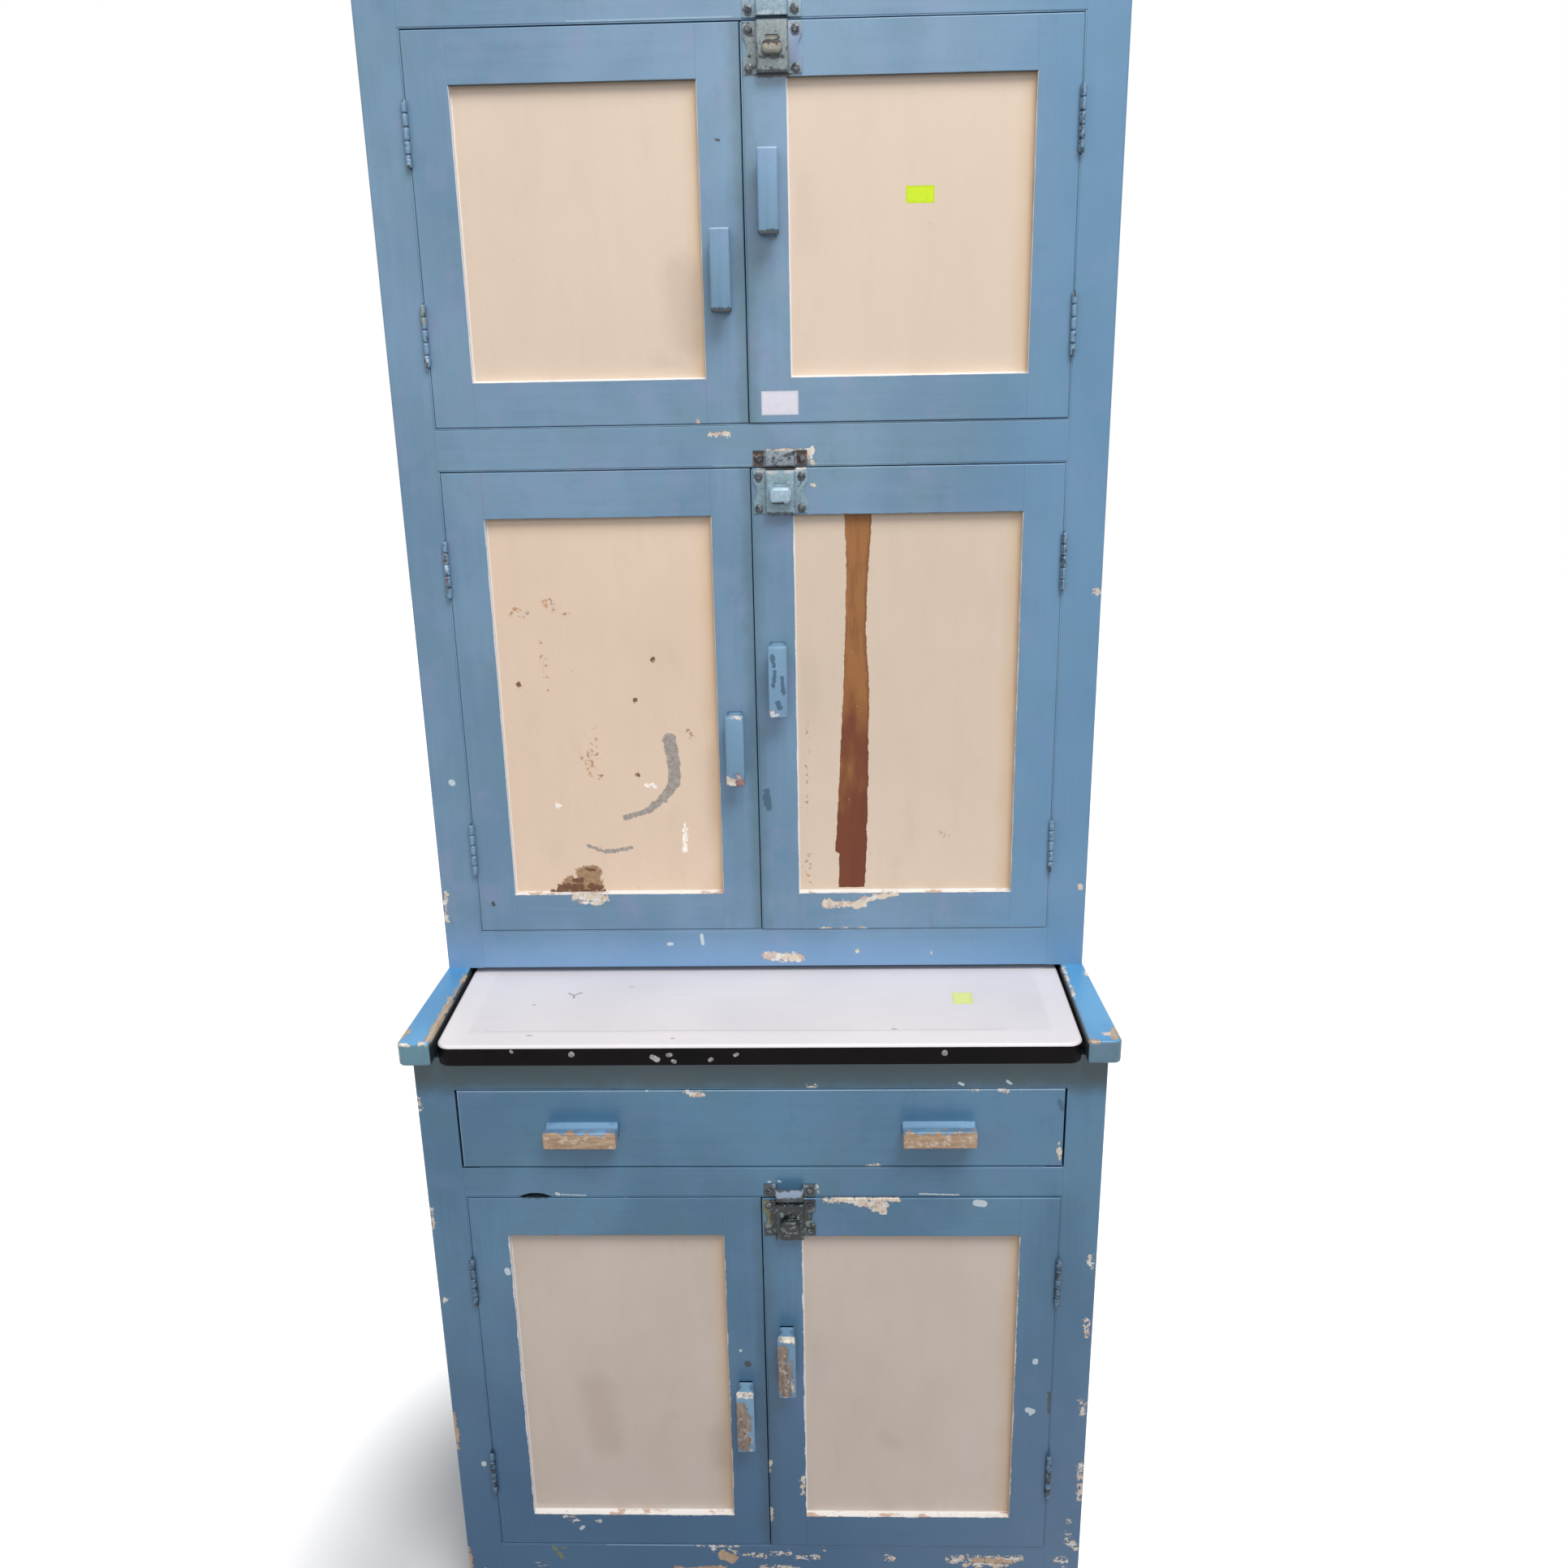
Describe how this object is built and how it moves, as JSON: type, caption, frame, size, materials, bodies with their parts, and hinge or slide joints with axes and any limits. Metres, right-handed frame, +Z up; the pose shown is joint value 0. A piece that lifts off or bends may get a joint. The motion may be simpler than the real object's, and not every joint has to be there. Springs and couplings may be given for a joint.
{
  "type": "kitchen cabinet",
  "caption": "Tall painted kitchen cabinet: a base with a drawer, doors and a pull-out enamelled worktop between side arms, and a shallower hutch with panelled doors, catches and pulls.",
  "frame": {"origin": "on the floor, under the middle of the cabinet's outer box", "axes": "+Z up, -Y out of the front, +X to the right as seen from the front"},
  "size_m": [0.7812, 0.4596, 1.892],
  "materials": {
    "blue_paint": "old brushed blue gloss paint on softwood, chipped at the edges",
    "cream_panel": "cream gloss paint on hardboard, stained",
    "back_board": "bare brown hardboard",
    "bare_wood": "bare softwood, aged",
    "enamel": "white vitreous enamel on pressed steel with a black edge",
    "catch_metal": "painted over pressed steel, worn and rusty at the screws",
    "hinge_steel": "old steel, painted over in part",
    "screw_steel": "dull round heads"
  },
  "bodies": {
    "carcass": {"base_back_panel": "back_board", "base_bottom_board": "bare_wood", "base_face_frame": "blue_paint", "base_sides": "blue_paint", "catch_keepers": "catch_metal", "door_stops": "bare_wood", "drawer_runners": "bare_wood", "hinge_frame_leaves": "hinge_steel", "hinge_pins": "hinge_steel", "hutch_back_panel": "back_board", "hutch_divider_board": "bare_wood", "hutch_face_frame": "blue_paint", "hutch_floor_board": "bare_wood", "hutch_sides": "blue_paint", "hutch_top_board": "blue_paint", "shelf_cleats": "bare_wood", "shelves": "bare_wood", "side_arm_left": "blue_paint", "side_arm_right": "blue_paint", "worktop_runners": "bare_wood"},
    "upper_left_door": {"upper_left_door_frame": "blue_paint", "upper_left_door_panel": "cream_panel", "upper_left_door_pull": "blue_paint", "upper_left_door_hinge_leaves": "hinge_steel"},
    "upper_right_door": {"upper_right_door_frame": "blue_paint", "upper_right_door_panel": "cream_panel", "upper_right_door_pull": "blue_paint", "upper_right_door_hinge_leaves": "hinge_steel", "upper_catch_case": "catch_metal"},
    "upper_bolt": {"upper_catch_bolt": "catch_metal"},
    "middle_left_door": {"middle_left_door_frame": "blue_paint", "middle_left_door_panel": "cream_panel", "middle_left_door_pull": "blue_paint", "middle_left_door_hinge_leaves": "hinge_steel"},
    "middle_right_door": {"middle_right_door_frame": "blue_paint", "middle_right_door_panel": "cream_panel", "middle_right_door_pull": "blue_paint", "middle_right_door_hinge_leaves": "hinge_steel", "middle_catch_case": "catch_metal"},
    "middle_bolt": {"middle_catch_bolt": "catch_metal"},
    "lower_left_door": {"lower_left_door_frame": "blue_paint", "lower_left_door_panel": "cream_panel", "lower_left_door_pull": "blue_paint", "lower_left_door_hinge_leaves": "hinge_steel"},
    "lower_right_door": {"lower_right_door_frame": "blue_paint", "lower_right_door_panel": "cream_panel", "lower_right_door_pull": "blue_paint", "lower_right_door_hinge_leaves": "hinge_steel", "lower_catch_case": "catch_metal"},
    "lower_bolt": {"lower_catch_bolt": "catch_metal"},
    "worktop": {"worktop_board": "bare_wood", "worktop_enamel": "enamel", "worktop_screws": "screw_steel", "worktop_stop_batten": "bare_wood"},
    "drawer": {"drawer_front": "blue_paint", "drawer_sides": "bare_wood", "drawer_back": "bare_wood", "drawer_bottom": "bare_wood", "drawer_pulls": "blue_paint"}
  },
  "joints": [
    {"name": "upper_left_door_hinge", "type": "hinge", "parent": "carcass", "child": "upper_left_door", "pos_m": [-0.337, -0.03565, 1.6315], "axis": [0, 0, -1], "range_deg": [0, 165]},
    {"name": "upper_right_door_hinge", "type": "hinge", "parent": "carcass", "child": "upper_right_door", "pos_m": [0.337, -0.03715, 1.6315], "axis": [0, 0, 1], "range_deg": [0, 165]},
    {"name": "upper_bolt_slide", "type": "slide", "parent": "upper_right_door", "child": "upper_bolt", "axis": [0, 0, 1], "range_m": [0, 0.009]},
    {"name": "middle_left_door_hinge", "type": "hinge", "parent": "carcass", "child": "middle_left_door", "pos_m": [-0.337, -0.03565, 1.1255], "axis": [0, 0, -1], "range_deg": [0, 165]},
    {"name": "middle_right_door_hinge", "type": "hinge", "parent": "carcass", "child": "middle_right_door", "pos_m": [0.337, -0.03715, 1.1255], "axis": [0, 0, 1], "range_deg": [0, 165]},
    {"name": "middle_bolt_slide", "type": "slide", "parent": "middle_right_door", "child": "middle_bolt", "axis": [0, 0, 1], "range_m": [0, 0.009]},
    {"name": "lower_left_door_hinge", "type": "hinge", "parent": "carcass", "child": "lower_left_door", "pos_m": [-0.337, -0.20565, 0.3505], "axis": [0, 0, -1], "range_deg": [0, 165]},
    {"name": "lower_right_door_hinge", "type": "hinge", "parent": "carcass", "child": "lower_right_door", "pos_m": [0.337, -0.20715, 0.3505], "axis": [0, 0, 1], "range_deg": [0, 165]},
    {"name": "lower_bolt_slide", "type": "slide", "parent": "lower_right_door", "child": "lower_bolt", "axis": [0, 0, 1], "range_m": [0, 0.009]},
    {"name": "drawer_slide", "type": "slide", "parent": "carcass", "child": "drawer", "axis": [0, -1, 0], "range_m": [0, 0.3]},
    {"name": "worktop_slide", "type": "slide", "parent": "carcass", "child": "worktop", "axis": [0, -1, 0], "range_m": [0, 0.18]}
  ]
}
